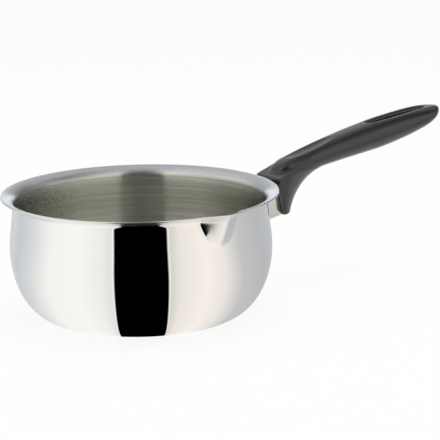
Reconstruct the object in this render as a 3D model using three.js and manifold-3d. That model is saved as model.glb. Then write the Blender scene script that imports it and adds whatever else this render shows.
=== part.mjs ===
// A stainless saucepan with one moulded handle: a three-ply drawn bowl with a flared rim and a
// pouring lip, a pressed bracket welded to its wall, and a phenolic grip held there by one screw.
// Millimetres, +Z up. The origin is the middle of the flat base and the handle runs along +X.
import * as THREE from "three";
import { mergeVertices } from "three/addons/utils/BufferGeometryUtils.js";
import Module from "manifold-3d";

const wasm = await Module();
wasm.setup();
const degrees = THREE.MathUtils.degToRad;

// Bowl: its outer face from the flat base to the cut edge of the rim.
const BASE_RADIUS = 60;
const BELLY_RADIUS = 94;
const BELLY_HEIGHT = 50.8;
const NECK_RADIUS = 91.3;
const NECK_HEIGHT = 83.1;
const FLARE_WIDTH = 10.8;
const FLARE_HEIGHT = 5.75;
const FLARE_SWEEP = degrees(75);

// Plies of the clad sheet, from the outside in, and the bond line between two of them.
const OUTER_PLY = 0.4;
const CORE_PLY = 0.5;
const INNER_PLY = 0.4;
const BOND_LINE = 0.05;

// Pouring lip: a beak pressed out of the wall, creased at both sides, on the left of the handle.
// Its flanks are flat and meet in a straight ridge, rounded over a share of half its width.
const SPOUT_ANGLE = degrees(-88.1);
const SPOUT_HALF_ANGLE = degrees(10.8);
const SPOUT_LEAST_ANGLE = degrees(1.6);
const SPOUT_DEPTH = 22.2;
const SPOUT_REACH = 3.6;
const SPOUT_SPREAD_POWER = 0.45;
const SPOUT_RIDGE_ROUND = 0.18;

// Bracket: a pressed channel with two feet on the wall, square to the face of the grip.
const BRACKET_BELOW_NECK = 14.5;
const BRACKET_REACH = 25.5;
const BRACKET_TILT = degrees(10.4);
const BRACKET_WIDTH = 20;
const BRACKET_HEIGHT = 22;
const BRACKET_SHEET = 1.5;
const BRACKET_BEND = 3;
const FOOT_WIDTH = 9;

// Fastening: one machine screw through the skirt of the grip into a nut behind the bracket's web.
const SCREW_DIAMETER = 5;
const SCREW_HEAD_DIAMETER = 9;
const SCREW_HEAD_HEIGHT = 3.4;
const SCREW_SLOT_WIDTH = 1.2;
const SCREW_SLOT_LENGTH = 5;
const SCREW_SLOT_DEPTH = 1.6;
const SCREW_PAST_NUT = 1.5;
const SCREW_TIP_CHAMFER = 0.8;
const WASHER_DIAMETER = 10;
const FLAT_WASHER_THICKNESS = 1;
const SPRING_WASHER_DIAMETER = 9.2;
const SPRING_WASHER_THICKNESS = 1.3;
const SPRING_WASHER_SPLIT = degrees(16);
const NUT_SIDES = 6;
const NUT_ACROSS_FLATS = 8;
const NUT_THICKNESS = 4;

// Skirt of the grip: the tall front that bears on the bracket, hollowed below towards the grip.
const SKIRT_DROP = 11.8;
const SKIRT_HALF_WIDTH = 14.5;
const SKIRT_FOOT_DEPTH = 13.3;
const SKIRT_FOOT_ROUND = 4;
const SKIRT_FOOT_SHARE = 0.6;
const SKIRT_BACK_REACH = 48.5;
const SKIRT_BACK_RISE = 19.6;
const SKIRT_HOLLOW_REACH = 24.4;
const SKIRT_HOLLOW_RISE = 14.5;
const SHOULDER_RISE = 17;
const SHOULDER_SLOPE = degrees(21);
const SOCKET_DEPTH = 2.5;
const SCREW_SHOULDER = 9;

// Grip: a swelling bar whose crown rises in a long arch and whose keel sweeps up to the tip.
const GRIP_LENGTH = 160.9;
const GRIP_START = 0.8;
const CROWN_START = 24.7;
const CROWN_RISE = 29.2;
const CROWN_POWER = 1.66;
const GRIP_THICKNESS = 21.7;
const GRIP_ROOT_THICKNESS = 12.5;
const GRIP_WIDTH = 27;
const GRIP_ROOT_WIDTH = 20;
const GRIP_SWELL_AT = 97;
const GRIP_SWELL_POWER = 1.3;
const GRIP_NOSE_ROUND = 14;
const GRIP_TIP_TAPER = 64;
const GRIP_TIP_ROUND = 20;
const GRIP_TIP_DROP = 2.4;
const GRIP_SQUARENESS = 2.5;

// Thumb rest and hanging slot, both on the crown of the grip.
const DISH_AT = 34.5;
const DISH_LENGTH = 50;
const DISH_WIDTH = 15;
const DISH_DEPTH = 2;
const DISH_BALL_RISE = 6;
const SLOT_LENGTH = 57;
const SLOT_WIDTH = 8.5;
const SLOT_TO_TIP = 13;

// Clearances.
const SEAT_GAP = 0.1;
const WELD_GAP = 0.3;
const SOCKET_CLEARANCE = 0.4;
const HOLE_CLEARANCE = 0.25;
const COUNTERBORE_CLEARANCE = 0.6;

// How far a cutting body runs past the face that it opens.
const OVERSHOOT = 1;

// Facets.
const CORNER_STEPS = 6;
const WALL_STEPS = 5;
const FLARE_STEPS = 5;
const SPOUT_COLUMNS = 8;
const REST_COLUMNS = 38;
const WALL_SEGMENTS = 96;
const ROUND_SEGMENTS = 24;
const GRIP_RINGS = 26;
const GRIP_SIDES = 20;
const SKIRT_RINGS = 8;
const SKIRT_SIDES = 16;
const SKIRT_FOOT_STEPS = 3;
const BEND_STEPS = 4;
const SCREW_HEAD_STEPS = 5;
const DISH_COLUMNS = 28;
const DISH_ROWS = 20;

// Corners closer than this are one corner.
const SAME_CORNER = 1e-4;

// Sizes worked out from the ones above.
const SHEET = OUTER_PLY + CORE_PLY + INNER_PLY + 2 * BOND_LINE;
const RIM_HEIGHT = NECK_HEIGHT + FLARE_HEIGHT * Math.sin(FLARE_SWEEP);
const RIM_RADIUS = NECK_RADIUS + FLARE_WIDTH * (1 - Math.cos(FLARE_SWEEP));
const SPOUT_FOOT = RIM_HEIGHT - SPOUT_DEPTH;
const BRACKET_Z = NECK_HEIGHT - BRACKET_BELOW_NECK;
const FACE_X = wallRadius(BRACKET_Z) + BRACKET_REACH;
const WEB_FACE = SOCKET_DEPTH - SEAT_GAP;
const SLOT_AT = GRIP_LENGTH - SLOT_TO_TIP - SLOT_LENGTH / 2;
const CLEAR_OF_ALL = 2 * GRIP_LENGTH;

// Radius of the bowl's outer face between the belly and the neck, a gentle cosine.
function wallRadius(z) {
  const share = (z - BELLY_HEIGHT) / (NECK_HEIGHT - BELLY_HEIGHT);
  const middle = (BELLY_RADIUS + NECK_RADIUS) / 2;
  return middle + ((BELLY_RADIUS - NECK_RADIUS) / 2) * Math.cos(Math.PI * share);
}

// The bowl's outer profile as points with outward normals, from the edge of the base to the rim.
function bowlProfile() {
  const points = [];
  const add = (r, z, normalR, normalZ) => {
    const length = Math.hypot(normalR, normalZ);
    points.push({ r, z, normalR: normalR / length, normalZ: normalZ / length });
  };
  const cornerReach = BELLY_RADIUS - BASE_RADIUS;
  for (let i = 0; i <= CORNER_STEPS; i++) {
    const turn = (i / CORNER_STEPS) * (Math.PI / 2);
    const r = BASE_RADIUS + cornerReach * Math.sin(turn);
    const z = BELLY_HEIGHT * (1 - Math.cos(turn));
    add(r, z, BELLY_HEIGHT * Math.sin(turn), -cornerReach * Math.cos(turn));
  }
  const wallHeight = NECK_HEIGHT - BELLY_HEIGHT;
  for (let i = 1; i <= WALL_STEPS; i++) {
    const share = i / WALL_STEPS;
    const lean = ((NECK_RADIUS - BELLY_RADIUS) / 2) * Math.PI * Math.sin(Math.PI * share);
    const z = BELLY_HEIGHT + wallHeight * share;
    add(wallRadius(z), z, wallHeight, -lean);
  }
  for (let i = 1; i <= FLARE_STEPS; i++) {
    const turn = (i / FLARE_STEPS) * FLARE_SWEEP;
    const r = NECK_RADIUS + FLARE_WIDTH * (1 - Math.cos(turn));
    const z = NECK_HEIGHT + FLARE_HEIGHT * Math.sin(turn);
    add(r, z, FLARE_HEIGHT * Math.cos(turn), -FLARE_WIDTH * Math.sin(turn));
  }
  return points;
}

// How far up the beak of the pouring lip a height lies: 0 at its foot, 1 at the rim.
function spoutRise(z) {
  return Math.max(0, (z - SPOUT_FOOT) / SPOUT_DEPTH);
}

// Half the angle that the beak spans. Below its foot the columns spread again, with nothing raised.
function spoutHalfAngle(z) {
  const spread = SPOUT_HALF_ANGLE - SPOUT_LEAST_ANGLE;
  if (z > SPOUT_FOOT) return SPOUT_LEAST_ANGLE + spread * spoutRise(z) ** SPOUT_SPREAD_POWER;
  return SPOUT_LEAST_ANGLE + spread * (1 - z / SPOUT_FOOT);
}

// How far the ridge of the beak stands out of the bowl's own face at a profile point.
function spoutRidge(point) {
  const foot = wallRadius(SPOUT_FOOT);
  const reach = RIM_RADIUS + SPOUT_REACH - foot;
  const ridge = foot + reach * spoutRise(point.z);
  return point.z > SPOUT_FOOT ? Math.max(0, ridge - point.r) : 0;
}

// The beak's section: 1 on its ridge and 0 at its creases, where across is -1 and 1.
function spoutSection(across) {
  const edge = Math.hypot(1, SPOUT_RIDGE_ROUND);
  return (edge - Math.hypot(across, SPOUT_RIDGE_ROUND)) / (edge - SPOUT_RIDGE_ROUND);
}

// One ring of the bowl at a depth under its outer face, with its columns gathered at the beak.
function bowlRing(point, depth) {
  const r = point.r - depth * point.normalR;
  const z = point.z - depth * point.normalZ;
  const half = spoutHalfAngle(point.z);
  const ring = [];
  for (let i = 0; i <= SPOUT_COLUMNS; i++) {
    const across = (2 * i) / SPOUT_COLUMNS - 1;
    const bulge = spoutRidge(point) * spoutSection(across);
    ring.push(polar(r + bulge, SPOUT_ANGLE + across * half, z));
  }
  for (let i = 1; i < REST_COLUMNS; i++) {
    const angle = SPOUT_ANGLE + half + (i / REST_COLUMNS) * (2 * Math.PI - 2 * half);
    ring.push(polar(r, angle, z));
  }
  return ring;
}

function polar(r, angle, z) {
  return new THREE.Vector3(r * Math.cos(angle), r * Math.sin(angle), z);
}

// A closed skin over rings of equally many points, with a point at each end.
function loft(rings, first = middleOf(rings[0]), last = middleOf(rings.at(-1))) {
  const sides = rings[0].length;
  const vertices = [...rings.flat(), first, last];
  const firstIndex = vertices.length - 2;
  const lastIndex = vertices.length - 1;
  const lastRing = (rings.length - 1) * sides;
  const triangles = [];
  for (let i = 0; i < sides; i++) {
    const next = (i + 1) % sides;
    for (let row = 0; row < lastRing; row += sides) {
      triangles.push(...splitQuad(vertices, row + i, row + next, row + sides + next, row + sides + i));
    }
    triangles.push(firstIndex, next, i);
    triangles.push(lastIndex, lastRing + i, lastRing + next);
  }
  const geometry = new THREE.BufferGeometry().setFromPoints(vertices);
  return geometry.setIndex(triangles);
}

// Two triangles over four corners, split along the shorter diagonal, so that skins lying one over
// the other are split alike.
function splitQuad(vertices, a, b, c, d) {
  const straight = vertices[a].distanceTo(vertices[c]) <= vertices[b].distanceTo(vertices[d]);
  return straight ? [a, b, c, a, c, d] : [a, b, d, b, c, d];
}

function middleOf(ring) {
  const sum = ring.reduce((total, point) => total.add(point), new THREE.Vector3());
  return sum.divideScalar(ring.length);
}

function toSolid(geometry) {
  const bare = geometry.clone();
  bare.deleteAttribute("normal");
  bare.deleteAttribute("uv");
  const merged = mergeVertices(bare, SAME_CORNER);
  const vertProperties = new Float32Array(merged.attributes.position.array);
  const triVerts = new Uint32Array(merged.index.array);
  return new wasm.Manifold(new wasm.Mesh({ numProp: 3, vertProperties, triVerts }));
}

function toGeometry(solid) {
  const mesh = solid.getMesh();
  const geometry = new THREE.BufferGeometry();
  geometry.setAttribute("position", new THREE.BufferAttribute(mesh.vertProperties, 3));
  return geometry.setIndex(new THREE.BufferAttribute(mesh.triVerts, 1));
}

function box(lowX, highX, lowY, highY, lowZ, highZ) {
  const geometry = new THREE.BoxGeometry(highX - lowX, highY - lowY, highZ - lowZ);
  return geometry.translate((lowX + highX) / 2, (lowY + highY) / 2, (lowZ + highZ) / 2);
}

// A round bar along X.
function bar(diameter, lowX, highX) {
  const geometry = new THREE.CylinderGeometry(diameter / 2, diameter / 2, highX - lowX, ROUND_SEGMENTS);
  return geometry.rotateZ(-Math.PI / 2).translate((lowX + highX) / 2, 0, 0);
}

// A flat shape drawn in the YZ plane and made thick along X.
function plate(shape, lowX, highX) {
  const geometry = new THREE.ExtrudeGeometry(shape, {
    depth: highX - lowX,
    bevelEnabled: false,
    curveSegments: ROUND_SEGMENTS,
  });
  return geometry.rotateX(Math.PI / 2).rotateZ(Math.PI / 2).translate(lowX, 0, 0);
}

// The bracket's frame: its X runs out along the screw, and X = 0 is the front face of the skirt.
function atFace(geometry) {
  return geometry.rotateY(-BRACKET_TILT).translate(FACE_X, 0, BRACKET_Z);
}

// One ply of the bowl between two depths under the outer face.
function makePly(fromDepth, thickness) {
  const profile = bowlProfile();
  const outside = profile.map((point) => bowlRing(point, fromDepth));
  const inside = profile.map((point) => bowlRing(point, fromDepth + thickness));
  return loft([...outside, ...inside.reverse()]);
}

// The plain bowl of revolution, grown outwards by a distance, as a solid with no hollow.
function grownBowl(distance) {
  const profile = bowlProfile().map(
    (point) => new THREE.Vector2(point.r + distance * point.normalR, point.z + distance * point.normalZ),
  );
  const start = new THREE.Vector2(0, profile[0].y);
  const end = new THREE.Vector2(0, profile.at(-1).y);
  return toSolid(new THREE.LatheGeometry([start, ...profile, end], WALL_SEGMENTS).rotateX(Math.PI / 2));
}

// The bracket's channel, seen from above: two side walls and the web that bears on the grip.
function channelShape(length) {
  const side = BRACKET_WIDTH / 2;
  const inner = side - BRACKET_SHEET;
  const web = WEB_FACE - BRACKET_SHEET;
  const centreX = WEB_FACE - BRACKET_BEND;
  const centreY = side - BRACKET_BEND;
  const insideBend = BRACKET_BEND - BRACKET_SHEET;
  const shape = new THREE.Shape();
  shape.moveTo(-length, -side);
  shape.lineTo(centreX, -side);
  shape.absarc(centreX, -centreY, BRACKET_BEND, -Math.PI / 2, 0);
  shape.absarc(centreX, centreY, BRACKET_BEND, 0, Math.PI / 2);
  shape.lineTo(-length, side);
  shape.lineTo(-length, inner);
  shape.absarc(centreX, centreY, insideBend, Math.PI / 2, 0, true);
  shape.lineTo(web, -centreY);
  shape.absarc(centreX, -centreY, insideBend, 0, -Math.PI / 2, true);
  shape.lineTo(-length, -inner);
  return shape;
}

function makeBracket() {
  const half = BRACKET_HEIGHT / 2;
  const channel = new THREE.ExtrudeGeometry(channelShape(FACE_X), {
    depth: BRACKET_HEIGHT,
    bevelEnabled: false,
    curveSegments: BEND_STEPS,
  }).translate(0, 0, -half);
  const side = BRACKET_WIDTH / 2;
  const inner = side - BRACKET_SHEET;
  const footEnd = side + FOOT_WIDTH;
  const midway = -BRACKET_REACH / 2;
  const leftFoot = toSolid(atFace(box(-FACE_X, midway, inner, footEnd, -half, half)));
  const rightFoot = toSolid(atFace(box(-FACE_X, midway, -footEnd, -inner, -half, half)));
  const band = grownBowl(WELD_GAP + BRACKET_SHEET);
  const feet = leftFoot.add(rightFoot).intersect(band);
  const screwHole = bar(SCREW_DIAMETER + 2 * HOLE_CLEARANCE, midway, WEB_FACE + OVERSHOOT);
  const body = toSolid(atFace(channel)).add(feet);
  return toGeometry(body.subtract(grownBowl(WELD_GAP)).subtract(toSolid(atFace(screwHole))));
}

function circlePath(diameter) {
  return new THREE.Path().absarc(0, 0, diameter / 2, 0, 2 * Math.PI);
}

function makeNut() {
  const corner = NUT_ACROSS_FLATS / 2 / Math.cos(Math.PI / NUT_SIDES);
  const shape = new THREE.Shape();
  for (let i = 0; i < NUT_SIDES; i++) {
    const turn = (2 * Math.PI * i) / NUT_SIDES;
    const move = i === 0 ? "moveTo" : "lineTo";
    shape[move](corner * Math.cos(turn), corner * Math.sin(turn));
  }
  shape.holes.push(circlePath(SCREW_DIAMETER + 2 * HOLE_CLEARANCE));
  const seat = WEB_FACE - BRACKET_SHEET - SEAT_GAP;
  return atFace(plate(shape, seat - NUT_THICKNESS, seat));
}

function makeFlatWasher() {
  const shape = new THREE.Shape().absarc(0, 0, WASHER_DIAMETER / 2, 0, 2 * Math.PI);
  shape.holes.push(circlePath(SCREW_DIAMETER + 2 * HOLE_CLEARANCE));
  const seat = SCREW_SHOULDER + SEAT_GAP;
  return atFace(plate(shape, seat, seat + FLAT_WASHER_THICKNESS));
}

function makeSpringWasher() {
  const start = SPRING_WASHER_SPLIT / 2;
  const end = 2 * Math.PI - start;
  const shape = new THREE.Shape();
  shape.absarc(0, 0, SPRING_WASHER_DIAMETER / 2, start, end);
  shape.absarc(0, 0, SCREW_DIAMETER / 2 + HOLE_CLEARANCE, end, start, true);
  const seat = SCREW_SHOULDER + FLAT_WASHER_THICKNESS + 2 * SEAT_GAP;
  return atFace(plate(shape, seat, seat + SPRING_WASHER_THICKNESS));
}

function makeScrew() {
  const seat = SCREW_SHOULDER + FLAT_WASHER_THICKNESS + SPRING_WASHER_THICKNESS + 3 * SEAT_GAP;
  const tip = WEB_FACE - BRACKET_SHEET - SEAT_GAP - NUT_THICKNESS - SCREW_PAST_NUT;
  const shankRadius = SCREW_DIAMETER / 2;
  const headRadius = SCREW_HEAD_DIAMETER / 2;
  const top = seat + SCREW_HEAD_HEIGHT;
  const outline = new THREE.Path();
  outline.moveTo(0, tip);
  outline.lineTo(shankRadius - SCREW_TIP_CHAMFER, tip);
  outline.lineTo(shankRadius, tip + SCREW_TIP_CHAMFER);
  outline.lineTo(shankRadius, seat);
  outline.lineTo(headRadius, seat);
  outline.quadraticCurveTo(headRadius, top, 0, top);
  const points = outline.getPoints(SCREW_HEAD_STEPS);
  const turned = new THREE.LatheGeometry(points, ROUND_SEGMENTS).rotateZ(-Math.PI / 2);
  const halfWidth = SCREW_SLOT_WIDTH / 2;
  const halfLength = SCREW_SLOT_LENGTH / 2;
  const floor = top - SCREW_SLOT_DEPTH;
  const slotY = toSolid(box(floor, top + OVERSHOOT, -halfLength, halfLength, -halfWidth, halfWidth));
  const slotZ = toSolid(box(floor, top + OVERSHOOT, -halfWidth, halfWidth, -halfLength, halfLength));
  return atFace(toGeometry(toSolid(turned).subtract(slotY.add(slotZ))));
}

// Size of a rounded end: 0 at its very end and 1 where the rounding begins.
function roundEnd(distance, length) {
  const short = Math.max(0, 1 - distance / length);
  return Math.sqrt(1 - short * short);
}

// Height of the crown above the screw, an arch that levels out at the tip.
function crownHeight(along) {
  const left = Math.max(0, 1 - along / GRIP_LENGTH);
  return CROWN_START + CROWN_RISE * (1 - left ** CROWN_POWER);
}

// How steeply the crown climbs.
function crownSlope(along) {
  const left = Math.max(0, 1 - along / GRIP_LENGTH);
  return ((CROWN_RISE * CROWN_POWER) / GRIP_LENGTH) * left ** (CROWN_POWER - 1);
}

// A size of the grip that starts at a root value and swells to its full value.
function swell(root, full, along) {
  const short = Math.max(0, 1 - along / GRIP_SWELL_AT);
  return full - (full - root) * short ** GRIP_SWELL_POWER;
}

function signedPower(value, power) {
  return Math.sign(value) * Math.abs(value) ** power;
}

// A ring of the grip at a distance from its nose: a rounded oblong, its crown on the arch.
function gripRing(along) {
  const toTip = GRIP_LENGTH - along;
  const nose = roundEnd(along, GRIP_NOSE_ROUND);
  const taper = roundEnd(toTip, GRIP_TIP_TAPER);
  const body = swell(GRIP_ROOT_THICKNESS, GRIP_THICKNESS, along) / 2;
  const halfThickness = body * nose * taper;
  const width = swell(GRIP_ROOT_WIDTH, GRIP_WIDTH, along);
  const halfWidth = (width / 2) * nose * roundEnd(toTip, GRIP_TIP_ROUND);
  const middle = crownHeight(along) - body * taper - GRIP_TIP_DROP * (1 - taper);
  const ring = [];
  for (let i = 0; i < GRIP_SIDES; i++) {
    const turn = (2 * Math.PI * i) / GRIP_SIDES;
    const y = halfWidth * signedPower(Math.cos(turn), 2 / GRIP_SQUARENESS);
    const z = middle + halfThickness * signedPower(Math.sin(turn), 2 / GRIP_SQUARENESS);
    ring.push(new THREE.Vector3(GRIP_START + along, y, z));
  }
  return ring;
}

function gripBar() {
  const rings = [];
  for (let i = 1; i < GRIP_RINGS; i++) {
    const share = (1 - Math.cos((Math.PI * i) / GRIP_RINGS)) / 2;
    rings.push(gripRing(share * GRIP_LENGTH));
  }
  const noseMiddle = crownHeight(0) - GRIP_ROOT_THICKNESS / 2;
  const tipMiddle = crownHeight(GRIP_LENGTH) - GRIP_TIP_DROP;
  const nose = new THREE.Vector3(GRIP_START, 0, noseMiddle);
  const tip = new THREE.Vector3(GRIP_START + GRIP_LENGTH, 0, tipMiddle);
  return toSolid(loft(rings, nose, tip));
}

// A level ring of the skirt: flat in front, rounded behind, shrunk towards its middle by a share.
function skirtRing(frontX, backX, z, share) {
  const middleX = (frontX + backX) / 2;
  const ring = [];
  for (let i = 0; i <= SKIRT_SIDES; i++) {
    const turn = Math.PI * (i / SKIRT_SIDES - 0.5);
    const x = frontX + (backX - frontX) * Math.cos(turn);
    const y = SKIRT_HALF_WIDTH * Math.sin(turn);
    ring.push(new THREE.Vector3(middleX + (x - middleX) * share, y * share, z));
  }
  return ring;
}

function skirt() {
  const front = (z) => -z * Math.tan(BRACKET_TILT);
  const foot = SKIRT_FOOT_ROUND - SKIRT_DROP;
  const back = new THREE.QuadraticBezierCurve(
    new THREE.Vector2(SKIRT_FOOT_DEPTH, foot),
    new THREE.Vector2(SKIRT_HOLLOW_REACH, SKIRT_HOLLOW_RISE),
    new THREE.Vector2(SKIRT_BACK_REACH, SKIRT_BACK_RISE),
  );
  const rings = [];
  for (let i = 0; i < SKIRT_FOOT_STEPS; i++) {
    const z = -SKIRT_DROP + (i / SKIRT_FOOT_STEPS) * SKIRT_FOOT_ROUND;
    const share = SKIRT_FOOT_SHARE + (1 - SKIRT_FOOT_SHARE) * roundEnd(i, SKIRT_FOOT_STEPS);
    rings.push(skirtRing(front(z), SKIRT_FOOT_DEPTH, z, share));
  }
  for (let i = 0; i <= SKIRT_RINGS; i++) {
    const point = back.getPoint(i / SKIRT_RINGS);
    rings.push(skirtRing(front(point.y), point.x, point.y, 1));
  }
  const top = crownHeight(SKIRT_BACK_REACH) - GRIP_ROOT_THICKNESS / 2;
  rings.push(skirtRing(front(top), SKIRT_BACK_REACH, top, 1));
  const aboveShoulder = box(-CLEAR_OF_ALL, CLEAR_OF_ALL, -CLEAR_OF_ALL, CLEAR_OF_ALL, 0, CLEAR_OF_ALL);
  aboveShoulder.rotateY(-SHOULDER_SLOPE).translate(front(SHOULDER_RISE), 0, SHOULDER_RISE);
  return toSolid(loft(rings)).subtract(toSolid(aboveShoulder));
}

// The shallow oval hollow for the thumb, sunk into the crown along its slope.
function thumbDish() {
  const radius = DISH_BALL_RISE + DISH_DEPTH;
  const spread = Math.sqrt(1 - (DISH_BALL_RISE / radius) ** 2);
  const geometry = new THREE.SphereGeometry(1, DISH_COLUMNS, DISH_ROWS);
  geometry.scale(DISH_LENGTH / 2 / spread, DISH_WIDTH / 2 / spread, radius);
  geometry.translate(0, 0, DISH_BALL_RISE).rotateY(-Math.atan(crownSlope(DISH_AT)));
  return toSolid(geometry.translate(GRIP_START + DISH_AT, 0, crownHeight(DISH_AT)));
}

function hangingSlot() {
  const shape = new THREE.Shape().absellipse(0, 0, SLOT_LENGTH / 2, SLOT_WIDTH / 2, 0, 2 * Math.PI);
  const geometry = new THREE.ExtrudeGeometry(shape, {
    depth: CLEAR_OF_ALL,
    bevelEnabled: false,
    curveSegments: ROUND_SEGMENTS,
  });
  return toSolid(geometry.translate(GRIP_START + SLOT_AT, 0, 0));
}

// What the bracket and the screw take out of the skirt, in the bracket's frame.
function fasteningCuts() {
  const halfY = BRACKET_WIDTH / 2 + SOCKET_CLEARANCE;
  const halfZ = BRACKET_HEIGHT / 2 + SOCKET_CLEARANCE;
  const socket = toSolid(box(-SKIRT_DROP, SOCKET_DEPTH, -halfY, halfY, -halfZ, halfZ));
  const hole = toSolid(bar(SCREW_DIAMETER + 2 * HOLE_CLEARANCE, 0, SCREW_SHOULDER + OVERSHOOT));
  const counterbore = bar(WASHER_DIAMETER + 2 * COUNTERBORE_CLEARANCE, SCREW_SHOULDER, SKIRT_BACK_REACH);
  return toGeometry(socket.add(hole).add(toSolid(counterbore)));
}

function makeGrip() {
  const moulded = gripBar().add(skirt()).subtract(thumbDish()).subtract(hangingSlot());
  const placed = toGeometry(moulded).translate(FACE_X, 0, BRACKET_Z);
  return toGeometry(toSolid(placed).subtract(toSolid(atFace(fasteningCuts()))));
}

const polishedSteel = { color: 0xd4d6d8, roughness: 0.12, metalness: 1 };
const brushedSteel = { color: 0x9a9a94, roughness: 0.38, metalness: 1 };
const aluminium = { color: 0xb9bcc0, roughness: 0.45, metalness: 1 };
const phenolic = { color: 0x1d1d1f, roughness: 0.48, metalness: 0 };

const coreDepth = OUTER_PLY + BOND_LINE;
const linerDepth = SHEET - INNER_PLY;
const pieces = [
  ["outer_steel_ply", makePly(0, OUTER_PLY), polishedSteel],
  ["aluminium_core_ply", makePly(coreDepth, CORE_PLY), aluminium],
  ["inner_steel_ply", makePly(linerDepth, INNER_PLY), brushedSteel],
  ["handle_bracket", makeBracket(), polishedSteel],
  ["weld_nut", makeNut(), brushedSteel],
  ["handle_grip", makeGrip(), phenolic],
  ["handle_screw", makeScrew(), polishedSteel],
  ["spring_washer", makeSpringWasher(), polishedSteel],
  ["flat_washer", makeFlatWasher(), polishedSteel],
];

const saucepan = new THREE.Group();
for (const [name, geometry, finish] of pieces) {
  const mesh = new THREE.Mesh(geometry, new THREE.MeshStandardMaterial(finish));
  mesh.name = name;
  saucepan.add(mesh);
}

export default saucepan;
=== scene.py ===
# Looks of a stainless saucepan with a pouring lip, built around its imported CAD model.
# Sizes are millimetres in the CAD frame until a mesh is made, and angles are written in degrees.
import math

import bmesh
import bpy
from mathutils import Matrix, Vector


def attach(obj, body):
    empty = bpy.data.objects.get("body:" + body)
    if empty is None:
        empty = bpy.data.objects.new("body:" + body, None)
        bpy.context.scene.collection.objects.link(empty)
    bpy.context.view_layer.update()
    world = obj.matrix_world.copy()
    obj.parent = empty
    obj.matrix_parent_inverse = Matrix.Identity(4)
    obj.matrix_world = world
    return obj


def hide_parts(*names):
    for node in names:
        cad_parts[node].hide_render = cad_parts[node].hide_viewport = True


MM = 0.001

# Bowl: its outer face from the flat base to the cut edge of the rim.
BASE_RADIUS = 60.0
BELLY_RADIUS = 94.0
BELLY_HEIGHT = 50.8
NECK_RADIUS = 91.3
NECK_HEIGHT = 83.1
FLARE_WIDTH = 10.8
FLARE_HEIGHT = 5.75
FLARE_SWEEP = math.radians(75.0)

# Plies of the clad sheet as depths under the outer face, and the rounding of its cut edge.
SHEET = 1.4
OUTER_PLY = (0.0, 0.42)
CORE_PLY = (0.42, 0.98)
INNER_PLY = (0.98, SHEET)
EDGE_ROUND = 0.3

# Pouring lip.
SPOUT_ANGLE = math.radians(-88.1)
SPOUT_HALF_ANGLE = math.radians(10.8)
SPOUT_LEAST_ANGLE = math.radians(1.6)
SPOUT_DEPTH = 22.2
SPOUT_REACH = 3.6
SPOUT_SPREAD_POWER = 0.45
SPOUT_RIDGE_ROUND = 0.18

# Bracket and screw, as far as the grip is cut for them.
BRACKET_BELOW_NECK = 14.5
BRACKET_REACH = 25.5
BRACKET_TILT = math.radians(10.4)
BRACKET_WIDTH = 20.0
BRACKET_HEIGHT = 22.0
SOCKET_DEPTH = 2.5
SOCKET_CLEARANCE = 0.4
SCREW_HOLE = 5.5
COUNTERBORE = 11.2
SCREW_SHOULDER = 9.0

# Skirt of the grip.
SKIRT_DROP = 11.8
SKIRT_HALF_WIDTH = 14.5
SKIRT_FOOT_DEPTH = 13.3
SKIRT_FOOT_ROUND = 4.0
SKIRT_FOOT_SHARE = 0.6
SKIRT_BACK = (48.5, 19.6)
SKIRT_HOLLOW = (24.4, 14.5)
SHOULDER_RISE = 17.0
SHOULDER_SLOPE = math.radians(21.0)

# Grip.
GRIP_LENGTH = 160.9
GRIP_START = 0.8
CROWN_START = 24.7
CROWN_RISE = 29.2
CROWN_POWER = 1.66
GRIP_THICKNESS = 21.7
GRIP_ROOT_THICKNESS = 12.5
GRIP_WIDTH = 27.0
GRIP_ROOT_WIDTH = 20.0
GRIP_SWELL_AT = 97.0
GRIP_SWELL_POWER = 1.3
GRIP_NOSE_ROUND = 14.0
GRIP_TIP_TAPER = 64.0
GRIP_TIP_ROUND = 20.0
GRIP_TIP_DROP = 2.4
GRIP_SQUARENESS = 2.5

# Thumb rest and hanging slot.
DISH_AT = 34.5
DISH_LENGTH = 50.0
DISH_WIDTH = 15.0
DISH_DEPTH = 2.0
DISH_BALL_RISE = 6.0
SLOT_LENGTH = 57.0
SLOT_WIDTH = 8.5
SLOT_TO_TIP = 13.0
SLOT_LIP = 4.0

# Fineness of the meshes.
CORNER_STEPS = 36
WALL_STEPS = 28
FLARE_STEPS = 20
EDGE_STEPS = 4
SPOUT_COLUMNS = 48
REST_COLUMNS = 240
GRIP_RINGS = 110
GRIP_SIDES = 88
SKIRT_RINGS = 40
SKIRT_SIDES = 64
SKIRT_FOOT_STEPS = 8
BALL_COLUMNS = 96
BALL_ROWS = 64
ROUND_SIDES = 64
GRIP_VOXEL = 0.55
GRIP_SMOOTHING = 10
LIP_SMOOTHING = 220
EDGE_SEGMENTS = 3
CLEAR_OF_ALL = 300.0

# Angles over which an edge stays sharp or is rounded off, the angle under which two faces are one,
# and the distance under which two points are.
BOWL_SHARP = 50
GRIP_SHARP = 40
HARDWARE_SHARP = 30
ROUNDED_OVER = 40
SAME_FACE = 1
SAME_POINT = 0.0001

# Camera: where it stands and looks, its field of view and how far it sees.
CAMERA_AT = (-928.9, -1375.1, 441.6)
CAMERA_LOOKS_AT = (45.93, -33.37, 68.28)
CAMERA_ROLL = -0.981
CAMERA_LENS = 194.33
CAMERA_REACH = 100000.0
SENSOR_WIDTH = 36.0

# Heights between which the outside loses its polish towards the rim, and how rough it gets.
DULL_FROM = 84.8
DULL_TO = 86.5
RIM_ROUGHNESS = 0.22

# Brushing of the inside: how far fine scratches and longer streaks tip the surface, as slopes.
SCRATCH_TILT = 0.6
STREAK_TILT = 0.04
STREAK_SHADE = 0.32
STREAK_STRETCH = (9, 9, 620)
STREAK_DETAIL = 2

# The brushed surface leans up towards the neck, and is smoother on the turned rim, where a paler colour
# paints in a highlight.
LEAN_FROM = 75.0
NECK_LEAN = 0.09
RIM_TILT_SHARE = 0.6
RIM_PAINTED_HIGHLIGHT = (0.84, 0.845, 0.84)
SATIN_METALLIC = 0.92

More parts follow.
